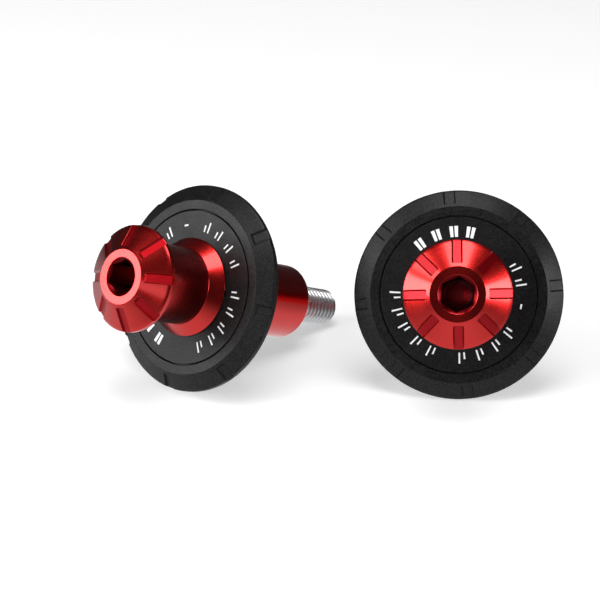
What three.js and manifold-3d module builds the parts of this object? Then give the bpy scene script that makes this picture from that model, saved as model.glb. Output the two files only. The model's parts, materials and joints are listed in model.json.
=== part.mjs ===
// A pair of motorcycle handlebar end weights, lying side by side on a flat surface.
//
// Each weight is a stack on one axis. An end cap clamps a printed disc and a wide protective rim
// against a plain rear body, and a long M10 set screw, locked into the cap, comes out at the back.
// Millimetres, +Z up. The surface they lie on is z = 0, and the origin is in the middle of the pair.
//
// Inside one weight, local +Z runs along the axis towards the cap's front face, and local z = 0 is
// the front of the rim's outer edge. Local +Y is the upward side and local +X the right-hand side.

import * as THREE from 'three';
import { mergeVertices } from 'three/addons/utils/BufferGeometryUtils.js';
import Module from 'manifold-3d';

// ---------------------------------------------------------------- driving dimensions

const CLEARANCE = 0.3;           // between pieces that touch or nearly touch
const TURNED_SEGMENTS = 48;      // facets round the cap
const WIDE_SEGMENTS = 64;        // facets round the rim and the disc
const NARROW_SEGMENTS = 24;      // facets round the set screw

// The rim, a moulded ring with a plate inside it.
const RIM_RADIUS = 27;
const RIM_WALL = 1.4;            // height of the straight outer edge
const RIM_LAND_HEIGHT = 2.6;     // how far the flat front stands above the outer edge
const RIM_BEVEL_START = 22.8;    // radius where the flat front turns down to the outer edge
const RIM_SLOTS = 8;
const RIM_SLOT_WIDTH = 3;
const RIM_SLOT_DEPTH = 0.5;
const RIM_SLOT_INSET = 0.8;      // from the start of the bevel to the slot's end wall
const RIM_SLOT_CORNER = 0.15;

// The printed disc that lies in the rim's front recess, flush with the rim's flat front.
const DISC_RADIUS = 20;
const DISC_THICKNESS = 1.4;
const DISC_GROOVE = 0.38;        // the gap between the disc and the rim

// The end cap.
const FACE_HEIGHT = 28.2;        // flat front face
const FACE_RADIUS = 6.96;
const HEAD_RADIUS = 13.64;
const HEAD_EDGE_HEIGHT = 24.15;  // where the cone ends
const HEAD_BAND = 1.3;           // straight edge behind the cone
const CAP_SLOTS = 8;
const CAP_SLOT_WIDTH = 2.6;
const CAP_SLOT_DEPTH = 0.6;
const CAP_SLOT_INSET = 0.9;      // from the flat face's edge to the slot's inner end
const CAP_SLOT_CORNER = 0.5;
const NECK_RADIUS = 10;
const FLANGE_RADIUS = 12.84;
const FLANGE_CONE_TOP = 6;
const FLANGE_CONE_FOOT = 3.1;
const SOCKET_ACROSS_FLATS = 8;
const SOCKET_MOUTH_RADIUS = 4.9;
const SOCKET_CHAMFER = 1;
const SPIGOT_RADIUS = 8;         // runs through the disc and the rim into the rear body
const SPIGOT_END = -6;

// The rubber ring in the underside of the cap's flange.
const SEAL_RADIUS = 9.8;
const SEAL_SECTION_RADIUS = 0.5;

// The rear body.
const BODY_RADIUS = 9.9;
const BODY_END = -35.2;
const BODY_CHAMFER = 0.5;

// The M10 x 70 set screw.
const SCREW_RADIUS = 5;
const SCREW_LENGTH = 70;
const SCREW_END = -54;
const SCREW_POINT_RADIUS = 3.5;  // flat point, seen at the bottom of the cap's socket
const SCREW_TAIL_CHAMFER = 1;
const SCREW_SOCKET_ACROSS_FLATS = 5;
const SCREW_SOCKET_DEPTH = 5;

// How the two lie, and how far each cap and rim is turned on its axis, in degrees. The heading is
// measured from -Y towards -X. A slot phase is the angle of one slot's middle from local +X, and the
// socket phase is the angle of a corner from local +Y.
const LEFT = { place: [0, 0], heading: 43, capSlotPhase: 13.8, socketPhase: 1.8, rimSlotPhase: 1.3 };
const RIGHT = { place: [68.2, -4.5], heading: 4.9, capSlotPhase: 3, socketPhase: -3, rimSlotPhase: 7.3 };

const RED_ALUMINIUM = { color: 0xc4101c, roughness: 0.28, metalness: 0.9 };
const BLACK_NYLON = { color: 0x232325, roughness: 0.62, metalness: 0 };
const BLACK_DISC = { color: 0x2a2a2c, roughness: 0.55, metalness: 0 };
const BLACK_RUBBER = { color: 0x0d0d0d, roughness: 0.85, metalness: 0 };
const ZINC_STEEL = { color: 0xbfc3c6, roughness: 0.3, metalness: 1 };

// ---------------------------------------------------------------- derived sizes

const PLATE_BORE = SPIGOT_RADIUS + 0.4;
const RECESS_FLOOR = RIM_LAND_HEIGHT - DISC_THICKNESS - CLEARANCE;
const FLANGE_BACK = RIM_LAND_HEIGHT + CLEARANCE;
const BODY_FRONT = -RIM_WALL - CLEARANCE;
const SCREW_BORE = SCREW_RADIUS + CLEARANCE;
const SCREW_FRONT = SCREW_END + SCREW_LENGTH;
const SOCKET_BOTTOM = SCREW_FRONT + CLEARANCE;
const PILOT_RADIUS = SOCKET_ACROSS_FLATS / 2 - 0.1;

// The rim's rear edge and the screw's tail both touch the surface.
const CONTACT_SPAN = -SCREW_END - SCREW_TAIL_CHAMFER - RIM_WALL;
const REST_TILT = Math.atan2(RIM_RADIUS - SCREW_RADIUS, CONTACT_SPAN);

// ---------------------------------------------------------------- solids

const wasm = await Module();
wasm.setup();

function welded(geometry) {
  const bare = geometry.clone();
  bare.deleteAttribute('normal');
  bare.deleteAttribute('uv');
  return mergeVertices(bare, 1e-4);
}

function toSolid(geometry) {
  const closed = welded(geometry);
  const mesh = new wasm.Mesh({
    numProp: 3,
    vertProperties: new Float32Array(closed.attributes.position.array),
    triVerts: new Uint32Array(closed.index.array),
  });
  return new wasm.Manifold(mesh);
}

function toGeometry(solid) {
  const mesh = solid.getMesh();
  const geometry = new THREE.BufferGeometry();
  geometry.setAttribute('position', new THREE.BufferAttribute(new Float32Array(mesh.vertProperties), 3));
  geometry.setIndex(new THREE.BufferAttribute(new Uint32Array(mesh.triVerts), 1));
  return geometry;
}

// Revolves a closed [radius, height] outline round local Z.
function turned(outline, segments) {
  const points = outline.map(([radius, height]) => new THREE.Vector2(radius, height));
  return new THREE.LatheGeometry(points, segments).rotateX(Math.PI / 2);
}

function hexPrism(acrossFlats, bottom, top, phase) {
  const cornerRadius = acrossFlats / Math.sqrt(3);
  const height = top - bottom;
  return new THREE.CylinderGeometry(cornerRadius, cornerRadius, height, 6)
    .rotateX(Math.PI / 2)
    .rotateZ(THREE.MathUtils.degToRad(phase))
    .translate(0, 0, (top + bottom) / 2);
}

// Cuts equal slots whose floors run parallel to a conical face. The face starts at
// (startRadius, startHeight) and falls to (endRadius, endHeight).
function cutConeSlots(solid, { startRadius, startHeight, endRadius, endHeight, width, depth, inset, corner,
  count, phase }) {
  const fall = startHeight - endHeight;
  const slope = Math.atan2(fall, endRadius - startRadius);
  const faceLength = Math.hypot(fall, endRadius - startRadius);
  const start = inset / Math.cos(slope);
  const end = faceLength + 2;
  const half = width / 2;
  const plan = new THREE.Shape();
  plan.moveTo(end, -half);
  plan.lineTo(end, half);
  plan.lineTo(start + corner, half);
  plan.absarc(start + corner, half - corner, corner, Math.PI / 2, Math.PI, false);
  plan.lineTo(start, corner - half);
  plan.absarc(start + corner, corner - half, corner, Math.PI, 1.5 * Math.PI, false);
  plan.closePath();
  const cutter = new THREE.ExtrudeGeometry(plan, { depth: depth + 2, bevelEnabled: false, curveSegments: 3 })
    .translate(0, 0, -depth)
    .rotateY(slope)
    .translate(startRadius, 0, startHeight);
  let result = solid;
  for (let i = 0; i < count; i += 1) {
    const angle = THREE.MathUtils.degToRad(phase + (360 / count) * i);
    result = result.subtract(toSolid(cutter.clone().rotateZ(angle)));
  }
  return result;
}

// ---------------------------------------------------------------- the six pieces of one weight

function capGeometry({ capSlotPhase, socketPhase }) {
  const sealGroove = SEAL_SECTION_RADIUS + CLEARANCE;
  const grooveTop = FLANGE_BACK + 2 * SEAL_SECTION_RADIUS + CLEARANCE;
  const blank = toSolid(turned([
    [SCREW_BORE, SPIGOT_END],
    [SPIGOT_RADIUS, SPIGOT_END],
    [SPIGOT_RADIUS, FLANGE_BACK],
    [SEAL_RADIUS - sealGroove, FLANGE_BACK],
    [SEAL_RADIUS - sealGroove, grooveTop],
    [SEAL_RADIUS + sealGroove, grooveTop],
    [SEAL_RADIUS + sealGroove, FLANGE_BACK],
    [FLANGE_RADIUS, FLANGE_BACK],
    [FLANGE_RADIUS, FLANGE_CONE_FOOT],
    [NECK_RADIUS, FLANGE_CONE_TOP],
    [NECK_RADIUS, HEAD_EDGE_HEIGHT - HEAD_BAND],
    [HEAD_RADIUS, HEAD_EDGE_HEIGHT - HEAD_BAND],
    [HEAD_RADIUS, HEAD_EDGE_HEIGHT],
    [FACE_RADIUS, FACE_HEIGHT],
    [SOCKET_MOUTH_RADIUS, FACE_HEIGHT],
    [PILOT_RADIUS, FACE_HEIGHT - SOCKET_CHAMFER],
    [PILOT_RADIUS, SOCKET_BOTTOM],
    [SCREW_BORE, SOCKET_BOTTOM],
    [SCREW_BORE, SPIGOT_END],
  ], TURNED_SEGMENTS));
  const slotted = cutConeSlots(blank, {
    startRadius: FACE_RADIUS,
    startHeight: FACE_HEIGHT,
    endRadius: HEAD_RADIUS,
    endHeight: HEAD_EDGE_HEIGHT,
    width: CAP_SLOT_WIDTH,
    depth: CAP_SLOT_DEPTH,
    inset: CAP_SLOT_INSET,
    corner: CAP_SLOT_CORNER,
    count: CAP_SLOTS,
    phase: capSlotPhase,
  });
  const socket = hexPrism(SOCKET_ACROSS_FLATS, SOCKET_BOTTOM - 0.1, FACE_HEIGHT + 1, socketPhase);
  return toGeometry(slotted.subtract(toSolid(socket)));
}

function sealGeometry() {
  return new THREE.TorusGeometry(SEAL_RADIUS, SEAL_SECTION_RADIUS, 6, 32)
    .translate(0, 0, FLANGE_BACK + SEAL_SECTION_RADIUS);
}

function discGeometry() {
  const back = RIM_LAND_HEIGHT - DISC_THICKNESS;
  return turned([
    [PLATE_BORE, back],
    [DISC_RADIUS, back],
    [DISC_RADIUS, RIM_LAND_HEIGHT],
    [PLATE_BORE, RIM_LAND_HEIGHT],
    [PLATE_BORE, back],
  ], WIDE_SEGMENTS);
}

function rimGeometry({ rimSlotPhase }) {
  const recessRadius = DISC_RADIUS + DISC_GROOVE;
  const ring = toSolid(turned([
    [PLATE_BORE, -RIM_WALL],
    [RIM_RADIUS, -RIM_WALL],
    [RIM_RADIUS, 0],
    [RIM_BEVEL_START, RIM_LAND_HEIGHT],
    [recessRadius, RIM_LAND_HEIGHT],
    [recessRadius, RECESS_FLOOR],
    [PLATE_BORE, RECESS_FLOOR],
    [PLATE_BORE, -RIM_WALL],
  ], WIDE_SEGMENTS));
  return toGeometry(cutConeSlots(ring, {
    startRadius: RIM_BEVEL_START,
    startHeight: RIM_LAND_HEIGHT,
    endRadius: RIM_RADIUS,
    endHeight: 0,
    width: RIM_SLOT_WIDTH,
    depth: RIM_SLOT_DEPTH,
    inset: RIM_SLOT_INSET,
    corner: RIM_SLOT_CORNER,
    count: RIM_SLOTS,
    phase: rimSlotPhase,
  }));
}

function bodyGeometry() {
  const spigotPocketEnd = SPIGOT_END - CLEARANCE;
  return turned([
    [SCREW_BORE, BODY_END],
    [BODY_RADIUS - BODY_CHAMFER, BODY_END],
    [BODY_RADIUS, BODY_END + BODY_CHAMFER],
    [BODY_RADIUS, BODY_FRONT],
    [PLATE_BORE, BODY_FRONT],
    [PLATE_BORE, spigotPocketEnd],
    [SCREW_BORE, spigotPocketEnd],
    [SCREW_BORE, BODY_END],
  ], TURNED_SEGMENTS);
}

function screwGeometry() {
  const pointChamfer = SCREW_RADIUS - SCREW_POINT_RADIUS;
  const shank = toSolid(turned([
    [0, SCREW_END],
    [SCREW_RADIUS - SCREW_TAIL_CHAMFER, SCREW_END],
    [SCREW_RADIUS, SCREW_END + SCREW_TAIL_CHAMFER],
    [SCREW_RADIUS, SCREW_FRONT - pointChamfer],
    [SCREW_POINT_RADIUS, SCREW_FRONT],
    [0, SCREW_FRONT],
  ], NARROW_SEGMENTS));
  const socket = hexPrism(SCREW_SOCKET_ACROSS_FLATS, SCREW_END - 1, SCREW_END + SCREW_SOCKET_DEPTH, 0);
  return toGeometry(shank.subtract(toSolid(socket)));
}

// ---------------------------------------------------------------- the pair

const PIECES = [
  ['cap', capGeometry, RED_ALUMINIUM],
  ['seal', sealGeometry, BLACK_RUBBER],
  ['disc', discGeometry, BLACK_DISC],
  ['rim', rimGeometry, BLACK_NYLON],
  ['body', bodyGeometry, RED_ALUMINIUM],
  ['screw', screwGeometry, ZINC_STEEL],
];

function barEnd(side, pose) {
  const unit = new THREE.Group();
  for (const [piece, makeGeometry, look] of PIECES) {
    const mesh = new THREE.Mesh(makeGeometry(pose), new THREE.MeshStandardMaterial(look));
    mesh.name = `${side}_${piece}`;
    unit.add(mesh);
  }
  const [x, y] = pose.place;
  const rimCentreHeight = RIM_RADIUS * Math.cos(REST_TILT) + RIM_WALL * Math.sin(REST_TILT);
  unit.rotation.set(Math.PI / 2 - REST_TILT, 0, -THREE.MathUtils.degToRad(pose.heading), 'ZXY');
  unit.position.set(x, y, rimCentreHeight);
  return unit;
}

const pair = new THREE.Group();
pair.add(barEnd('left', LEFT));
pair.add(barEnd('right', RIGHT));

// The middle of the pair goes to the origin, and its lowest point to z = 0.
const extent = new THREE.Box3().setFromObject(pair, true);
const middle = extent.getCenter(new THREE.Vector3());
pair.position.set(-middle.x, -middle.y, -extent.min.z);

export default pair;
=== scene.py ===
"""The looks of a pair of handlebar end weights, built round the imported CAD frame. Blender 4.5."""

import json
import math

import bpy
import numpy as np
from mathutils import Matrix, Vector


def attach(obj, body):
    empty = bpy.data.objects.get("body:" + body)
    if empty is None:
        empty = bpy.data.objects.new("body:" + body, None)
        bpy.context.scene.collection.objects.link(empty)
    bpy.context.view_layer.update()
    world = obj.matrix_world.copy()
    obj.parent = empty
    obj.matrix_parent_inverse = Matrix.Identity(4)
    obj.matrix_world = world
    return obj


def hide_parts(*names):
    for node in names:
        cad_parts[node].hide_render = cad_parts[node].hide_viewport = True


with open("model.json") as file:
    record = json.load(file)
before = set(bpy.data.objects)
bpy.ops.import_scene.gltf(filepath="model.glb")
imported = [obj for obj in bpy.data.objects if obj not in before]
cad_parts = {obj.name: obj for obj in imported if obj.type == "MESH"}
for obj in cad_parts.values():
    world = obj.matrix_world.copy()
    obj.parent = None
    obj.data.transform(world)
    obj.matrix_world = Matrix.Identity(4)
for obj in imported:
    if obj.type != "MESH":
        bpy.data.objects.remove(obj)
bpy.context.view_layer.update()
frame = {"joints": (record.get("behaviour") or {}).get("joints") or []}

# Every size below is in millimetres, in a weight's own frame: z runs along its axis towards the
# cap's face, and z = 0 is the front of the rim's outer edge. MM turns them into metres.
MM = 0.001
SIDES = ("left", "right")

# End cap
FACE_Z = 28.2
FACE_R = 6.96
HEAD_R = 13.64
HEAD_EDGE_Z = 24.15
HEAD_BACK_Z = 22.85
NECK_R = 10.0
FLANGE_R = 12.84
FLANGE_TOP_Z = 6.0
FLANGE_FOOT_Z = 3.1
FLANGE_BACK_Z = 2.9
SOCKET_MOUTH_R = 4.9
SOCKET_FLAT_R = 4.0
SOCKET_BOTTOM_Z = 16.3
SOCKET_UNDERCUT = 0.35     # height over which the socket's bottom opens into the screw's bore
SPIGOT_R = 8.0
SPIGOT_END_Z = -6.0
CAP_EDGE_ROUND = 0.14
CAP_SLOT = {"width": 2.6, "depth": 0.6, "inset": 0.9, "corner": 0.5}

# Seal
SEAL_R = 9.8
SEAL_SECTION_R = 0.5
GROOVE_HALF_WIDTH = 0.8
GROOVE_DEPTH = 1.3

# Disc and rim
LAND_Z = 2.6
DISC_R = 20.0
DISC_BACK_Z = 1.2
RECESS_R = 20.38
RECESS_Z = 0.9
BEVEL_R = 22.8
RIM_R = 27.0
RIM_BACK_Z = -1.4
PLATE_BORE_R = 8.4
RIM_EDGE_ROUND = 0.22
RIM_SLOT = {"width": 3.0, "depth": 0.5, "inset": 0.8, "corner": 0.15}
SLOTS = 8

# Rear body
BODY_R = 9.9
BODY_FRONT_Z = -1.7
BODY_END_Z = -35.2
BODY_POCKET_Z = -6.3

# M10 x 1.5 set screw
SCREW_R = 5.0
SCREW_ROOT_R = 4.08
SCREW_PITCH = 1.5
SCREW_BORE_R = 5.3
SCREW_END_Z = -54.0
SCREW_FRONT_Z = 16.0
SCREW_POINT_R = 3.5
SCREW_POINT_BEVEL = (0.4, 0.2)     # inwards and along the axis
SCREW_TAIL_R = 4.0
SCREW_SOCKET_FLAT_R = 2.5
SCREW_SOCKET_DEPTH = 5.0
SCREW_SOCKET_CHAMFER = 0.25
THREAD_CREST = 0.14        # shares of half a pitch, from a crest's middle to its edge
THREAD_ROOT = 0.80         # and from a crest's middle to the root's edge

# White marks printed on the disc
PRINT_R = (14.9, 17.7)
PRINT_THICKNESS = 0.02
PRINT_GAP = 0.004          # between the disc's face and the ink, so that they don't coincide
PRINT_STEP = 0.3           # longest straight piece of a mark's curved sides
BOLD_WIDTH = 0.85
BOLD_APART = 0.62          # from a pair's middle to the middle of each block
THIN_WIDTH = 0.42
THIN_APART = 0.65
THIN_SHORT = 0.62          # length of the shorter tick of a pair over the longer one's
DASH_WIDTH = 1.3
DASH_HALF_HEIGHT = 0.22
# Middles of the pairs and of the dash, in degrees round the disc
BOLD_MARKS = (129, 112, 96, 81)
THIN_MARKS = (28, 13, -35, -51, -68, -85, -114, -130, -147, -162, 182)
DASH_MARK = -9

# How far each weight's turning pieces are turned on its axis, in degrees
TURNS = {
    "left": {"cap_slots": 13.8, "socket": 1.8, "rim_slots": 1.3, "print": 122.0},
    "right": {"cap_slots": 3.0, "socket": -3.0, "rim_slots": 7.3, "print": 0.0},
}

# Points round each turned piece, and rows along the curved ones
SEAL_COLUMNS = 96
SEAL_STEPS = 20
DISC_COLUMNS = 192
BODY_COLUMNS = 160
SCREW_COLUMNS = 72
ROWS_PER_PITCH = 12
HOLD = 0.12                # a fillet's extra point is this far along the flat beside it

# A slotted cone's face counts as a slot's wall below this depth, and as its floor below this
# share of the slot's own depth
# The walls get darker copies of the materials, which paint the shade inside the slots
SLOT_WALL_DEPTH = 0.06
SLOT_FLOOR_SHARE = 0.75


# ---------------------------------------------------------------- frame

def unit_matrix(side):
    """The matrix from a weight's own frame to the row's frame, read from its joint."""
    joint = next(j for j in frame["joints"] if j["name"] == f"{side}_fastener_turn")
    axis = Vector(joint["axis"]).normalized()
    right = Vector((0, 0, 1)).cross(axis).normalized()
    up = axis.cross(right)
    turn = Matrix((right, up, axis)).transposed()
    return Matrix.Translation(Vector(joint["pos_m"])) @ turn.to_4x4()


# ---------------------------------------------------------------- mesh helpers

def make_piece(name, points, faces, material, side, body, node=None, crease=28):
    """A mesh object in a weight's own frame, riding on a body and standing for a CAD node."""
    mesh = bpy.data.meshes.new(name)
    mesh.from_pydata([tuple(np.array(p) * MM) for p in points], [], faces)
    mesh.validate()
    mesh.materials.append(material)
    mesh.shade_smooth()
    mesh.set_sharp_from_angle(angle=math.radians(crease))
    piece = bpy.data.objects.new(name, mesh)
    bpy.context.collection.objects.link(piece)
    piece.matrix_world = unit_matrix(side)
    bpy.context.view_layer.update()
    piece.visible_diffuse = False      # keeps the red pieces from tinting the floor
    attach(piece, body)
    if node:
        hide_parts(node)
    return piece


def loft(rows, close_rows=True, cap_start=None, cap_end=None):
    """Joins rows of points into a skin. Each row closes on itself, and so do the rows if
    close_rows is set. cap_start and cap_end are centre points that close an open end row."""
    count = len(rows[0])
    points = [p for row in rows for p in row]
    faces = []
    last = len(rows) if close_rows else len(rows) - 1
    for i in range(last):
        a = i * count
        b = ((i + 1) % len(rows)) * count
        for j in range(count):
            k = (j + 1) % count
            faces.append((a + j, a + k, b + k, b + j))
    if cap_start is not None:
        centre = len(points)
        points.append(cap_start)
        faces += [(centre, (j + 1) % count, j) for j in range(count)]
    if cap_end is not None:
        centre = len(points)
        points.append(cap_end)
        base = (len(rows) - 1) * count
        faces += [(centre, base + j, base + (j + 1) % count) for j in range(count)]
    return points, faces


def rounded(outline, closed=True, steps=3):
    """Rounds the corners of an outline of (radius, z, fillet radius) and returns (radius, z).
    Where there is room, a fillet gets one more point on either side, so that the flats beside
    it keep their shading."""
    result = []
    count = len(outline)
    for i, (r, z, fillet) in enumerate(outline):
        here = Vector((r, z))
        ends = not closed and i in (0, count - 1)
        if fillet <= 0 or ends:
            result.append((r, z))
            continue
        before = Vector(outline[i - 1][:2]) - here
        after = Vector(outline[(i + 1) % count][:2]) - here
        half = before.angle(after) / 2
        reach = min(fillet / math.tan(half), before.length * 0.45, after.length * 0.45)
        start = here + before.normalized() * reach
        end = here + after.normalized() * reach
        if reach + HOLD < before.length * 0.5:
            beside = here + before.normalized() * (reach + HOLD)
            result.append((beside.x, beside.y))
        for step in range(steps + 1):
            t = step / steps
            p = start * (1 - t) ** 2 + here * (2 * t * (1 - t)) + end * t ** 2
            result.append((p.x, p.y))
        if reach + HOLD < after.length * 0.5:
            beside = here + after.normalized() * (reach + HOLD)
            result.append((beside.x, beside.y))
    return result


def ring(r, z, angles):
    """One row of points at a radius and a height, at the given angles in radians."""
    return [(r * math.cos(a), r * math.sin(a), z) for a in angles]


def shaped_ring(radii, z, angles):
    """One row of points at a height, with a radius for each angle."""
    return [(r * math.cos(a), r * math.sin(a), z) for r, a in zip(radii, angles)]


def even_angles(count, phase=0.0):
    """Angles in radians that go round once. phase is the first one, in degrees."""
    return [math.radians(phase) + 2 * math.pi * i / count for i in range(count)]


def lathe(outline, count):
    """Rows of points for an outline of (radius, z) turned round the axis."""
    return [ring(r, z, even_angles(count)) for r, z in outline]


def hex_radius(flat_r, angle, phase):
    """Distance from the axis to a hexagon's side. One corner is at 90 degrees + phase."""
    turn = math.degrees(angle) - 90 - phase
    within = (turn % 60) - 30
    return flat_r / math.cos(math.radians(within))


class SlottedCone:
    """A conical face with equal slots, sampled in columns that follow the slots' straight sides."""

    wall = (-0.34, 0.08)   # the slot's wall runs between these distances from its outline
    smooth_share = 0.35    # how much of the wall's profile is an S curve, and the rest is straight
    # Columns of a slot: shares of its half width on the floor, then distances from its outline
    floor_columns = (0, 0.2, 0.35, 0.5, 0.6)
    wall_columns = (-0.42, -0.34, -0.22, -0.10, 0.0, 0.08, 0.18)
    # Rows at a slot's inner end, from its outline, then past it as shares of the corner's radius
    end_rows = (-0.18, -0.08, 0.0, 0.10, 0.22, 0.34, 0.42)
    corner_rows = (0.3, 0.8)
    open_rows = 6          # rows from there to the outer edge
    first_row = 0.12       # distance of the first row from the inner edge
    edge_margin = 0.1      # depths aren't told apart this close to the outer edge

    def __init__(self, r0, z0, r1, z1, slot, phase, spread_steps):
        self.r0, self.z0, self.r1, self.z1 = r0, z0, r1, z1
        self.slot = slot
        self.phase = phase
        self.slope = math.atan2(z0 - z1, r1 - r0)
        self.length = math.hypot(r1 - r0, z0 - z1)
        self.start = slot["inset"] / math.cos(self.slope)
        half = slot["width"] / 2
        self.offsets = [half * share for share in self.floor_columns]
        self.offsets += [half + distance for distance in self.wall_columns]
        self.spread_steps = spread_steps

    def half_angles(self, r):
        """Angles from a slot's middle to halfway to the next slot, at one radius."""
        angles = [math.asin(o / r) for o in self.offsets]
        limit = math.pi / SLOTS
        step = (limit - angles[-1]) / self.spread_steps
        return angles + [angles[-1] + step * (i + 1) for i in range(self.spread_steps)]

    def columns(self, r):
        """(slot's middle angle, angle from that middle) for every column, going round once."""
        half = self.half_angles(r)
        sector = [-a for a in half[:0:-1]][1:] + half
        result = []
        for k in range(SLOTS):
            middle = math.radians(self.phase) + 2 * math.pi * k / SLOTS
            result += [(middle, a) for a in sector]
        return result

    def angles(self, r):
        return [middle + a for middle, a in self.columns(r)]

    def cut(self, offset, along):
        """How much of the slot's full depth is cut at a point of the face, from 0 to 1."""
        corner = self.slot["corner"]
        dx = abs(offset) - self.slot["width"] / 2 + corner
        dy = self.start - along + corner
        distance = math.hypot(max(dx, 0), max(dy, 0)) - corner + min(max(dx, dy), 0)
        low, high = self.wall
        t = min(1, max(0, (high - distance) / (high - low)))
        smooth = t * t * (3 - 2 * t)
        return smooth * self.smooth_share + t * (1 - self.smooth_share)

    def row(self, along):
        """Points across the face at one distance from its inner edge."""
        r = self.r0 + along * math.cos(self.slope)
        z = self.z0 - along * math.sin(self.slope)
        points = []
        for middle, a in self.columns(r):
            fall = r * (1 - math.cos(a)) * math.sin(self.slope)
            drop = self.cut(r * math.sin(a), along) * (self.slot["depth"] - fall)
            radial = Vector((math.cos(middle), math.sin(middle), 0))
            p = Vector((r * math.cos(middle + a), r * math.sin(middle + a), z))
            p -= radial * (drop * math.sin(self.slope))
            p.z -= drop * math.cos(self.slope)
            points.append(tuple(p))
        return points

    def depth_below(self, point):
        """How far below the uncut cone a point of the face lies. It is 0 off the face."""
        r = math.hypot(point[0], point[1])
        lowest = self.z1 - 2 * self.slot["depth"]
        if not self.r0 < r < self.r1 - self.edge_margin or point[2] < lowest:
            return 0
        surface = self.z0 - (r - self.r0) * math.tan(self.slope)
        return (surface - point[2]) * math.cos(self.slope)

    def edge_row(self, inset, below):
        """Points round the outer edge, where the face or a slot's floor meets the edge band."""
        points = []
        for middle, a in self.columns(self.r1):
            cut = self.cut(self.r1 * math.sin(a), self.length)
            floor_x = self.r1 * math.cos(a) - self.r0
            floor_z = self.z0 - floor_x * math.tan(self.slope)
            floor_z -= self.slot["depth"] / math.cos(self.slope)
            z = self.z1 + cut * (floor_z - self.z1)
            r = self.r1 - inset
            points.append((r * math.cos(middle + a), r * math.sin(middle + a), z - below))
        return points

    def rows(self, edge_round):
        """All rows from the edge band over the outer edge to just outside the inner edge."""
        corner = self.slot["corner"]
        near_end = list(self.end_rows)
        near_end += [self.end_rows[-1] + corner * share for share in self.corner_rows]
        places = [self.first_row, self.start * 0.5] + [self.start + place for place in near_end]
        first_open = places[-1]
        run = self.length - edge_round - first_open
        places += [first_open + run * i / self.open_rows for i in range(1, self.open_rows + 1)]
        body = [self.row(place) for place in reversed(places)]
        rise = edge_round * math.sin(self.slope)
        # The edge's own rows step inwards and up by shares of its rounding
        edge = [
            self.edge_row(0, edge_round),
            self.edge_row(edge_round * 0.06, edge_round * 0.35 - rise * 0.1),
            self.edge_row(edge_round * 0.4, -rise * 0.12),
        ]
        return edge + body


# ---------------------------------------------------------------- materials

def new_material(name):
    material = bpy.data.materials.new(name)
    material.use_nodes = True
    nodes = material.node_tree.nodes
    return material, nodes, material.node_tree.links, nodes["Principled BSDF"]


def mix_colours(nodes, links, factor, dark, light):
    mix = nodes.new("ShaderNodeMix")
    mix.data_type = "RGBA"
    links.new(factor, mix.inputs["Factor"])
    mix.inputs["A"].default_value = (*dark, 1)
    mix.inputs["B"].default_value = (*light, 1)
    return mix.outputs["Result"]


def noise(nodes, links, vector, scale, detail=3.0, roughness=0.5):
    node = nodes.new("ShaderNodeTexNoise")
    node.inputs["Scale"].default_value = scale
    node.inputs["Detail"].default_value = detail
    node.inputs["Roughness"].default_value = roughness
    links.new(vector, node.inputs["Vector"])
    return node.outputs["Fac"]


def remap(nodes, links, value, low, high, to_low, to_high):
    node = nodes.new("ShaderNodeMapRange")
    links.new(value, node.inputs["Value"])
    node.inputs["From Min"].default_value = low
    node.inputs["From Max"].default_value = high
    node.inputs["To Min"].default_value = to_low
    node.inputs["To Max"].default_value = to_high
    return node.outputs["Result"]


def math_node(nodes, links, operation, a, b):
    node = nodes.new("ShaderNodeMath")
    node.operation = operation
    for socket, value in zip(node.inputs, (a, b)):
        if isinstance(value, (int, float)):
            socket.default_value = value
        else:
            links.new(value, socket)
    return node.outputs[0]


def add_bump(nodes, links, shader, height, strength, distance):
    bump = nodes.new("ShaderNodeBump")
    bump.inputs["Strength"].default_value = strength
    bump.inputs["Distance"].default_value = distance
    links.new(height, bump.inputs["Height"])
    links.new(bump.outputs["Normal"], shader.inputs["Normal"])


def object_coordinates(nodes):
    return nodes.new("ShaderNodeTexCoord").outputs["Object"]


def radius_and_height(nodes, links, coordinates):
    """The distance from the object's Z axis, and the height along it, in metres."""
    split = nodes.new("ShaderNodeSeparateXYZ")
    links.new(coordinates, split.inputs["Vector"])
    x2 = math_node(nodes, links, "MULTIPLY", split.outputs["X"], split.outputs["X"])
    y2 = math_node(nodes, links, "MULTIPLY", split.outputs["Y"], split.outputs["Y"])
    total = math_node(nodes, links, "ADD", x2, y2)
    return math_node(nodes, links, "SQRT", total, 0), split.outputs["Z"]


def turned_marks(nodes, links, coordinates):
    """Fine random rings left by the lathe tool: noise that changes along the profile only."""
    radius, height = radius_and_height(nodes, links, coordinates)
    join = nodes.new("ShaderNodeCombineXYZ")
    links.new(radius, join.inputs["X"])
    links.new(height, join.inputs["Y"])
    return noise(nodes, links, join.outputs["Vector"], scale=9000, detail=2.0, roughness=0.6)


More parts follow.
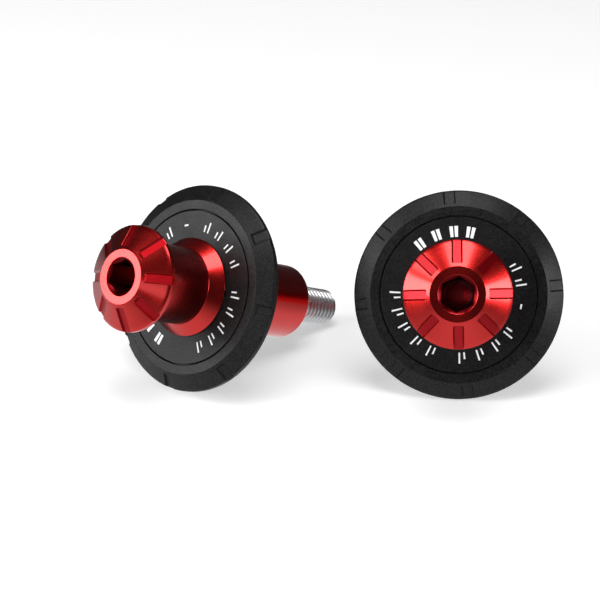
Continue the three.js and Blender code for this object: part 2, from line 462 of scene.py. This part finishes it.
def red_anodised(name, dark, light, rough, grain_turn, coat):
    """Dyed aluminium. rough is the middle of its roughness, and grain_turn is 0 for lathe rings
    and 0.25 for cuts that run outwards. coat is the weight of the clear anodic layer."""
    material, nodes, links, shader = new_material(name)
    coordinates = object_coordinates(nodes)
    marks = turned_marks(nodes, links, coordinates)
    blotches = noise(nodes, links, coordinates, scale=160)
    links.new(mix_colours(nodes, links, blotches, dark, light), shader.inputs["Base Color"])
    base = remap(nodes, links, blotches, 0.3, 0.7, rough - 0.03, rough + 0.03)
    fine = remap(nodes, links, marks, 0.3, 0.7, -0.02, 0.02)
    links.new(math_node(nodes, links, "ADD", base, fine), shader.inputs["Roughness"])
    shader.inputs["Metallic"].default_value = 1.0
    shader.inputs["Anisotropic"].default_value = 0.4
    shader.inputs["Anisotropic Rotation"].default_value = grain_turn
    shader.inputs["Coat Weight"].default_value = coat
    shader.inputs["Coat Roughness"].default_value = 0.15
    tangent = nodes.new("ShaderNodeTangent")
    tangent.direction_type = "RADIAL"
    tangent.axis = "Z"
    links.new(tangent.outputs["Tangent"], shader.inputs["Tangent"])
    add_bump(nodes, links, shader, marks, strength=0.08, distance=0.00001)
    return material


def moulded_black(name, dark, light, rough, grain_scale, grain_depth):
    """Black plastic with a fine grain, dark with lighter specks. grain_depth is in metres."""
    material, nodes, links, shader = new_material(name)
    coordinates = object_coordinates(nodes)
    grain = noise(nodes, links, coordinates, scale=grain_scale, detail=2.0, roughness=0.65)
    patches = noise(nodes, links, coordinates, scale=220)
    specks = remap(nodes, links, grain, 0.4, 0.62, 0, 1)
    links.new(mix_colours(nodes, links, specks, dark, light), shader.inputs["Base Color"])
    base = remap(nodes, links, patches, 0.3, 0.7, rough - 0.04, rough + 0.04)
    links.new(base, shader.inputs["Roughness"])
    shader.inputs["Specular IOR Level"].default_value = 0.30
    add_bump(nodes, links, shader, grain, strength=0.9, distance=grain_depth)
    return material


def white_ink():
    material, nodes, links, shader = new_material("white_ink")
    coverage = noise(nodes, links, object_coordinates(nodes), scale=5000, detail=2.0)
    links.new(mix_colours(nodes, links, coverage, (0.66, 0.67, 0.68), (0.90, 0.90, 0.90)),
              shader.inputs["Base Color"])
    shader.inputs["Roughness"].default_value = 0.5
    return material


def black_rubber():
    material, nodes, links, shader = new_material("black_rubber")
    grain = noise(nodes, links, object_coordinates(nodes), scale=2500)
    links.new(mix_colours(nodes, links, grain, (0.008, 0.008, 0.008), (0.016, 0.016, 0.016)),
              shader.inputs["Base Color"])
    shader.inputs["Roughness"].default_value = 0.7
    add_bump(nodes, links, shader, grain, strength=0.4, distance=0.00003)
    return material


def zinc_steel(name, dark, light):
    """Bright plated steel, slightly cloudy."""
    material, nodes, links, shader = new_material(name)
    coordinates = object_coordinates(nodes)
    cloud = noise(nodes, links, coordinates, scale=300)
    grain = noise(nodes, links, coordinates, scale=4200, detail=2.0, roughness=0.6)
    links.new(mix_colours(nodes, links, cloud, dark, light), shader.inputs["Base Color"])
    shader.inputs["Metallic"].default_value = 1.0
    links.new(remap(nodes, links, cloud, 0.3, 0.7, 0.26, 0.34), shader.inputs["Roughness"])
    add_bump(nodes, links, shader, grain, strength=0.1, distance=0.00002)
    return material


RED = red_anodised(
    "red_anodised", dark=(0.60, 0.012, 0.012), light=(0.70, 0.021, 0.017),
    rough=0.26, grain_turn=0.0, coat=0.65)
MILLED = red_anodised(
    "red_milled", dark=(0.40, 0.005, 0.010), light=(0.50, 0.009, 0.015),
    rough=0.36, grain_turn=0.25, coat=0.25)
# A darker copy of the red for the slots' walls: painted shade inside the cap's slots
SHADED_SLOT_WALL = red_anodised(
    "red_slot_wall_painted_shade", dark=(0.26, 0.003, 0.007), light=(0.36, 0.006, 0.011),
    rough=0.38, grain_turn=0.25, coat=0.15)
# A much darker copy of the red for the socket's inside: painted shade in the deep hexagonal socket
SHADED_SOCKET = red_anodised(
    "red_socket_painted_shade", dark=(0.12, 0.002, 0.004), light=(0.18, 0.004, 0.007),
    rough=0.40, grain_turn=0.25, coat=0.05)
NYLON = moulded_black(
    "rim_black", dark=(0.0002, 0.0002, 0.0003), light=(0.011, 0.011, 0.0118),
    rough=0.41, grain_scale=2200, grain_depth=0.00008)
DISC = moulded_black(
    "disc_black", dark=(0.0002, 0.0002, 0.0003), light=(0.010, 0.010, 0.0107),
    rough=0.41, grain_scale=2600, grain_depth=0.00007)
# A darker, rougher copy of the black for the rim slots' walls: painted shade inside the slots
SHADED_NYLON_WALL = moulded_black(
    "rim_slot_wall_painted_shade", dark=(0.0003, 0.0003, 0.0003), light=(0.001, 0.001, 0.001),
    rough=0.7, grain_scale=1900, grain_depth=0.0001)
INK = white_ink()
RUBBER = black_rubber()
STEEL = zinc_steel("zinc_steel", dark=(0.62, 0.63, 0.65), light=(0.80, 0.81, 0.82))
# The point's red tint is a painted reflection of the red socket round it
POINT_PAINTED_REFLECTION = zinc_steel("steel_point_painted_reflection", dark=(0.60, 0.05, 0.08), light=(0.75, 0.08, 0.11))


# ---------------------------------------------------------------- pieces

def start_of(angles, even):
    """The index in even that is closest to the first of angles, all in radians."""
    full = 2 * math.pi
    gaps = [abs((angle - angles[0] + math.pi) % full - math.pi) for angle in even]
    return gaps.index(min(gaps))


def cap_back():
    """The outline from the spigot's bore round the flange and the neck to the head's edge band."""
    groove_z = FLANGE_BACK_Z + GROOVE_DEPTH
    return rounded([
        (SCREW_BORE_R, SPIGOT_END_Z, 0.3),
        (SPIGOT_R, SPIGOT_END_Z, 0.4),
        (SPIGOT_R, FLANGE_BACK_Z, 0),
        (SEAL_R - GROOVE_HALF_WIDTH, FLANGE_BACK_Z, 0.1),
        (SEAL_R - GROOVE_HALF_WIDTH, groove_z, 0.1),
        (SEAL_R + GROOVE_HALF_WIDTH, groove_z, 0.1),
        (SEAL_R + GROOVE_HALF_WIDTH, FLANGE_BACK_Z, 0.1),
        (FLANGE_R, FLANGE_BACK_Z, 0.08),
        (FLANGE_R, FLANGE_FOOT_Z, 0.12),
        (NECK_R, FLANGE_TOP_Z, 0.35),
        (NECK_R, HEAD_BACK_Z, 0.5),
        (HEAD_R, HEAD_BACK_Z, 0.15),
        (HEAD_R, HEAD_BACK_Z + 0.4, 0),
    ], closed=False, steps=4)


def socket_rows(even, socket_phase):
    """Rows from the cap's face through the hexagonal socket to the screw's bore."""
    walls = [hex_radius(SOCKET_FLAT_R, a, socket_phase) for a in even]
    chamfer = [FACE_Z - (SOCKET_MOUTH_R - w) for w in walls]
    return [
        # Two close rows beside the mouth keep the face's shading flat
        ring(FACE_R - 0.6, FACE_Z, even),
        ring(SOCKET_MOUTH_R + 0.18, FACE_Z, even),
        ring(SOCKET_MOUTH_R + 0.08, FACE_Z, even),
        ring(SOCKET_MOUTH_R - 0.04, FACE_Z - 0.04, even),
        [(w * math.cos(a), w * math.sin(a), z) for w, a, z in zip(walls, even, chamfer)],
        shaped_ring(walls, SOCKET_BOTTOM_Z, even),
        ring(SCREW_BORE_R, SOCKET_BOTTOM_Z - SOCKET_UNDERCUT, even),
    ]


def build_cap(side):
    turns = TURNS[side]
    cone = SlottedCone(FACE_R, FACE_Z, HEAD_R, HEAD_EDGE_Z, CAP_SLOT, turns["cap_slots"],
                       spread_steps=4)
    outer = cone.angles(HEAD_R)
    inner = cone.angles(FACE_R)
    even = even_angles(len(outer), turns["cap_slots"])
    shift = start_of(inner, even)
    even = even[shift:] + even[:shift]
    # Only the head's columns follow the slots. They are even elsewhere, for a smooth reflection.
    rows = [ring(r, z, even if r < HEAD_R - 0.5 else outer) for r, z in cap_back()]
    rows += cone.rows(CAP_EDGE_ROUND)
    rows += [ring(FACE_R, FACE_Z, inner), ring(FACE_R - 0.1, FACE_Z, inner)]
    rows += socket_rows(even, turns["socket"])
    points, faces = loft(rows)
    cap = make_piece(
        f"{side}_cap_turned", points, faces, RED, side, f"{side}_fastener", f"{side}_cap")
    cap.data.materials.append(MILLED)
    cap.data.materials.append(SHADED_SLOT_WALL)
    cap.data.materials.append(SHADED_SOCKET)
    # Faces inside the socket and on the slots' walls get darker copies of the red as painted shade;
    # the slots' floors get the milled red
    for face in cap.data.polygons:
        centre = face.center / MM
        depth = cone.depth_below(centre)
        radius = math.hypot(centre.x, centre.y)
        if radius < SOCKET_MOUTH_R - 0.1 and centre.z > SOCKET_BOTTOM_Z - 0.1:
            face.material_index = 3
        elif depth > SLOT_FLOOR_SHARE * CAP_SLOT["depth"]:
            face.material_index = 1
        elif depth > SLOT_WALL_DEPTH:
            face.material_index = 2


def build_seal(side):
    rows = []
    for a in even_angles(SEAL_STEPS):
        r = SEAL_R + SEAL_SECTION_R * math.cos(a)
        z = FLANGE_BACK_Z + SEAL_SECTION_R + SEAL_SECTION_R * math.sin(a)
        rows.append(ring(r, z, even_angles(SEAL_COLUMNS)))
    points, faces = loft(rows)
    seal = make_piece(
        f"{side}_seal_ring", points, faces, RUBBER, side, f"{side}_fastener", f"{side}_seal")


def build_disc(side):
    outline = rounded([
        (PLATE_BORE_R, DISC_BACK_Z, 0.1),
        (DISC_R, DISC_BACK_Z, 0.1),
        (DISC_R, LAND_Z, 0.1),
        (PLATE_BORE_R, LAND_Z, 0.1),
    ])
    points, faces = loft(lathe(outline, DISC_COLUMNS))
    disc = make_piece(
        f"{side}_disc_plate", points, faces, DISC, side, f"{side}_guard", f"{side}_disc")


def mark_solid(middle, width, r_low, r_high, sideways=0.0):
    """A thin closed patch of ink. middle is in degrees, and the other sizes in millimetres."""
    steps = max(1, math.ceil(width / PRINT_STEP))
    low_z = LAND_Z + PRINT_GAP
    high_z = low_z + PRINT_THICKNESS
    mean = (r_low + r_high) / 2
    corners = []
    for i in range(steps + 1):
        across = sideways - width / 2 + width * i / steps
        corners.append(math.radians(middle) + across / mean)
    outline = [(r_low, a) for a in corners] + [(r_high, a) for a in reversed(corners)]
    radii, angles = zip(*outline)
    points = shaped_ring(radii, low_z, angles) + shaped_ring(radii, high_z, angles)
    n = len(outline)
    faces = [tuple(range(n))[::-1], tuple(range(n, 2 * n))]
    faces += [(i, (i + 1) % n, n + (i + 1) % n, n + i) for i in range(n)]
    return points, faces


def build_print(side):
    """A generic ring of marks: pairs of solid blocks, pairs of fine ticks and one dash."""
    low, high = PRINT_R
    middle = (low + high) / 2
    short_high = low + (high - low) * THIN_SHORT
    turn = TURNS[side]["print"]
    solids = []
    for angle in (mark + turn for mark in BOLD_MARKS):
        solids.append(mark_solid(angle, BOLD_WIDTH, low, high, -BOLD_APART))
        solids.append(mark_solid(angle, BOLD_WIDTH, low, high, BOLD_APART))
    for angle in (mark + turn for mark in THIN_MARKS):
        solids.append(mark_solid(angle, THIN_WIDTH, low, high, -THIN_APART))
        solids.append(mark_solid(angle, THIN_WIDTH, low, short_high, THIN_APART))
    dash_ends = (middle - DASH_HALF_HEIGHT, middle + DASH_HALF_HEIGHT)
    solids.append(mark_solid(DASH_MARK + turn, DASH_WIDTH, *dash_ends))
    points = []
    faces = []
    for mark_points, mark_faces in solids:
        base = len(points)
        points += mark_points
        faces += [tuple(base + i for i in face) for face in mark_faces]
    marks = make_piece(f"{side}_disc_marks", points, faces, INK, side, f"{side}_guard")
    marks.visible_glossy = False       # keeps the white marks from streaking the neck


def build_rim(side):
    cone = SlottedCone(BEVEL_R, LAND_Z, RIM_R, 0.0, RIM_SLOT, TURNS[side]["rim_slots"],
                       spread_steps=8)
    outer = cone.angles(RIM_R)
    inner = cone.angles(BEVEL_R)
    back = rounded([
        (PLATE_BORE_R, RECESS_Z, 0.1),
        (PLATE_BORE_R, RIM_BACK_Z, 0.2),
        (RIM_R, RIM_BACK_Z, 0.22),
        (RIM_R, -0.9, 0),
    ], closed=False, steps=4)
    rows = [ring(r, z, outer) for r, z in back]
    rows += cone.rows(RIM_EDGE_ROUND)
    # The first point lies on the bevel, only to give the corner its direction, and is dropped
    front = rounded([
        (BEVEL_R + 0.1, LAND_Z - 0.062, 0),
        (BEVEL_R, LAND_Z, 0.5),
        (RECESS_R, LAND_Z, 0.15),
        (RECESS_R, RECESS_Z, 0.1),
        (PLATE_BORE_R + 0.3, RECESS_Z, 0),
    ], closed=False, steps=3)[1:]
    rows += [ring(r, z, inner) for r, z in front]
    points, faces = loft(rows)
    rim = make_piece(
        f"{side}_rim_moulding", points, faces, NYLON, side, f"{side}_guard", f"{side}_rim")
    rim.data.materials.append(SHADED_NYLON_WALL)
    floor_depth = SLOT_FLOOR_SHARE * RIM_SLOT["depth"]
    # The slots' walls get the darker black, as painted shade
    for face in rim.data.polygons:
        if SLOT_WALL_DEPTH < cone.depth_below(face.center / MM) < floor_depth:
            face.material_index = 1


def build_body(side):
    outline = rounded([
        (SCREW_BORE_R, BODY_END_Z, 0.3),
        (BODY_R, BODY_END_Z, 0.5),
        (BODY_R, BODY_FRONT_Z, 0.2),
        (PLATE_BORE_R, BODY_FRONT_Z, 0.2),
        (PLATE_BORE_R, BODY_POCKET_Z, 0.1),
        (SCREW_BORE_R, BODY_POCKET_Z, 0.1),
    ], steps=4)
    points, faces = loft(lathe(outline, BODY_COLUMNS))
    body = make_piece(
        f"{side}_body_spacer", points, faces, RED, side, "rear_bodies", f"{side}_body")


def thread_radius(angle, z):
    """Radius of a right-hand M10 x 1.5 thread with flat crests and roots and chamfered ends."""
    turn = (z / SCREW_PITCH - angle / (2 * math.pi)) % 1
    across = abs(turn - 0.5) * 2
    t = min(1, max(0, (across - THREAD_CREST) / (THREAD_ROOT - THREAD_CREST)))
    radius = SCREW_R - t * (SCREW_R - SCREW_ROOT_R)
    tail = SCREW_TAIL_R + (z - SCREW_END_Z)
    point = SCREW_POINT_R + (SCREW_FRONT_Z - z)
    return min(radius, tail, point)


def build_screw(side):
    columns = even_angles(SCREW_COLUMNS)
    length = SCREW_FRONT_Z - SCREW_END_Z
    steps = round(length / (SCREW_PITCH / ROWS_PER_PITCH))
    sockets = [hex_radius(SCREW_SOCKET_FLAT_R, a, 0) for a in columns]
    mouth = [w + SCREW_SOCKET_CHAMFER for w in sockets]
    bottom_z = SCREW_END_Z + SCREW_SOCKET_DEPTH
    rows = [
        shaped_ring(sockets, bottom_z, columns),
        shaped_ring(sockets, SCREW_END_Z + SCREW_SOCKET_CHAMFER, columns),
        shaped_ring(mouth, SCREW_END_Z, columns),
    ]
    for i in range(steps):
        z = SCREW_END_Z + length * i / steps
        rows.append(shaped_ring([thread_radius(a, z) for a in columns], z, columns))
    bevel_in, bevel_along = SCREW_POINT_BEVEL
    rows.append(ring(SCREW_POINT_R, SCREW_FRONT_Z - bevel_along, columns))
    rows.append(ring(SCREW_POINT_R - bevel_in, SCREW_FRONT_Z, columns))
    points, faces = loft(
        rows, close_rows=False, cap_start=(0, 0, bottom_z), cap_end=(0, 0, SCREW_FRONT_Z))
    screw = make_piece(
        f"{side}_screw_threaded", points, faces, STEEL, side, f"{side}_fastener",
        f"{side}_screw", crease=40)
    screw.data.materials.append(POINT_PAINTED_REFLECTION)
    # The point's flat end gets the red-tinted steel, a painted reflection of the socket
    for face in screw.data.polygons:
        if face.center.z / MM > SCREW_FRONT_Z - 0.01:
            face.material_index = 1


for side_name in SIDES:
    build_cap(side_name)
    build_seal(side_name)
    build_disc(side_name)
    build_print(side_name)
    build_rim(side_name)
    build_body(side_name)
    build_screw(side_name)


# ---------------------------------------------------------------- floor, light and camera

FLOOR_HALF_SIDE = 3.0        # metres, as are the lamps' sizes and places
LAMP_DISTANCE = 1.1
LAMP_TARGET = Vector((0, 0, 0.03))
# Directions are in degrees from the pair, azimuth from +X towards +Y
SOFTBOXES = {
    "left_softbox": {"azimuth": 206, "elevation": 18, "size": (1.0, 0.42), "radiance": 8.0},
    "upper_left_softbox": {"azimuth": 196, "elevation": 45, "size": (0.45, 0.38), "radiance": 4.0},
    "front_softbox": {"azimuth": 242, "elevation": 14, "size": (0.36, 0.3), "radiance": 1.3},
    "right_softbox": {"azimuth": 331, "elevation": 16, "size": (0.5, 0.42), "radiance": 8.0},
    "top_softbox": {"azimuth": 275, "elevation": 80, "size": (0.6, 0.6), "radiance": 5.5},
}


def add_floor():
    """A plain pale floor that glows slightly, to stay as white as the photo's."""
    s = FLOOR_HALF_SIDE
    mesh = bpy.data.meshes.new("floor")
    mesh.from_pydata([(-s, -s, 0), (s, -s, 0), (s, s, 0), (-s, s, 0)], [], [(0, 1, 2, 3)])
    material, _, _, shader = new_material("floor_white")
    shader.inputs["Base Color"].default_value = (0.78, 0.78, 0.78, 1)
    shader.inputs["Emission Color"].default_value = (1, 1, 1, 1)
    shader.inputs["Emission Strength"].default_value = 0.42
    shader.inputs["Roughness"].default_value = 0.7
    shader.inputs["Specular IOR Level"].default_value = 0.2
    mesh.materials.append(material)
    floor = bpy.data.objects.new("floor", mesh)
    bpy.context.collection.objects.link(floor)
    floor.visible_glossy = False       # the world's lower half stands in for it in reflections


def add_softbox(name, azimuth, elevation, size, radiance):
    """A rectangular lamp facing the pair."""
    a = math.radians(azimuth)
    e = math.radians(elevation)
    direction = Vector((math.cos(a) * math.cos(e), math.sin(a) * math.cos(e), math.sin(e)))
    data = bpy.data.lights.new(name, "AREA")
    data.shape = "RECTANGLE"
    data.size, data.size_y = size
    data.energy = radiance * math.pi * size[0] * size[1]
    lamp = bpy.data.objects.new(name, data)
    lamp.location = direction * LAMP_DISTANCE + LAMP_TARGET
    lamp.rotation_euler = direction.to_track_quat("Z", "Y").to_euler()
    bpy.context.collection.objects.link(lamp)


def add_world():
    """Nearly dark above the horizon, and brighter below it, where it stands in for the floor."""
    world = bpy.data.worlds.new("studio")
    world.use_nodes = True
    nodes = world.node_tree.nodes
    links = world.node_tree.links
    split = nodes.new("ShaderNodeSeparateXYZ")
    links.new(nodes.new("ShaderNodeTexCoord").outputs["Generated"], split.inputs["Vector"])
    background = nodes["Background"]
    background.inputs["Color"].default_value = (1, 1, 1, 1)
    strength = remap(
        nodes, links, split.outputs["Z"], low=-0.6, high=0.0, to_low=0.85, to_high=0.04)
    links.new(strength, background.inputs["Strength"])
    bpy.context.scene.world = world


CAMERA_ELEVATION = 23.1      # degrees above the horizon, looking along +Y
CAMERA_LENS = 132.0          # on a 36 mm sensor
CAMERA_RIGHT = 27.25         # millimetres from the left rim's centre, in the camera's own axes
CAMERA_UP = -3.12
CAMERA_BACK = 572.4


def add_camera():
    elevation = math.radians(CAMERA_ELEVATION)
    forward = Vector((0, math.cos(elevation), -math.sin(elevation)))
    up = Vector((0, math.sin(elevation), math.cos(elevation)))
    rim_centre = unit_matrix("left").translation
    data = bpy.data.cameras.new("camera")
    data.lens = CAMERA_LENS
    data.sensor_width = 36.0
    data.clip_end = 20.0
    camera = bpy.data.objects.new("camera", data)
    offset = Vector((CAMERA_RIGHT, 0, 0)) + up * CAMERA_UP - forward * CAMERA_BACK
    camera.location = rim_centre + offset * MM
    camera.rotation_euler = (math.pi / 2 - elevation, 0, 0)
    bpy.context.collection.objects.link(camera)
    bpy.context.scene.camera = camera


add_floor()
for lamp_name, lamp in SOFTBOXES.items():
    add_softbox(lamp_name, **lamp)
add_world()
add_camera()
bpy.context.scene.view_settings.view_transform = "Standard"
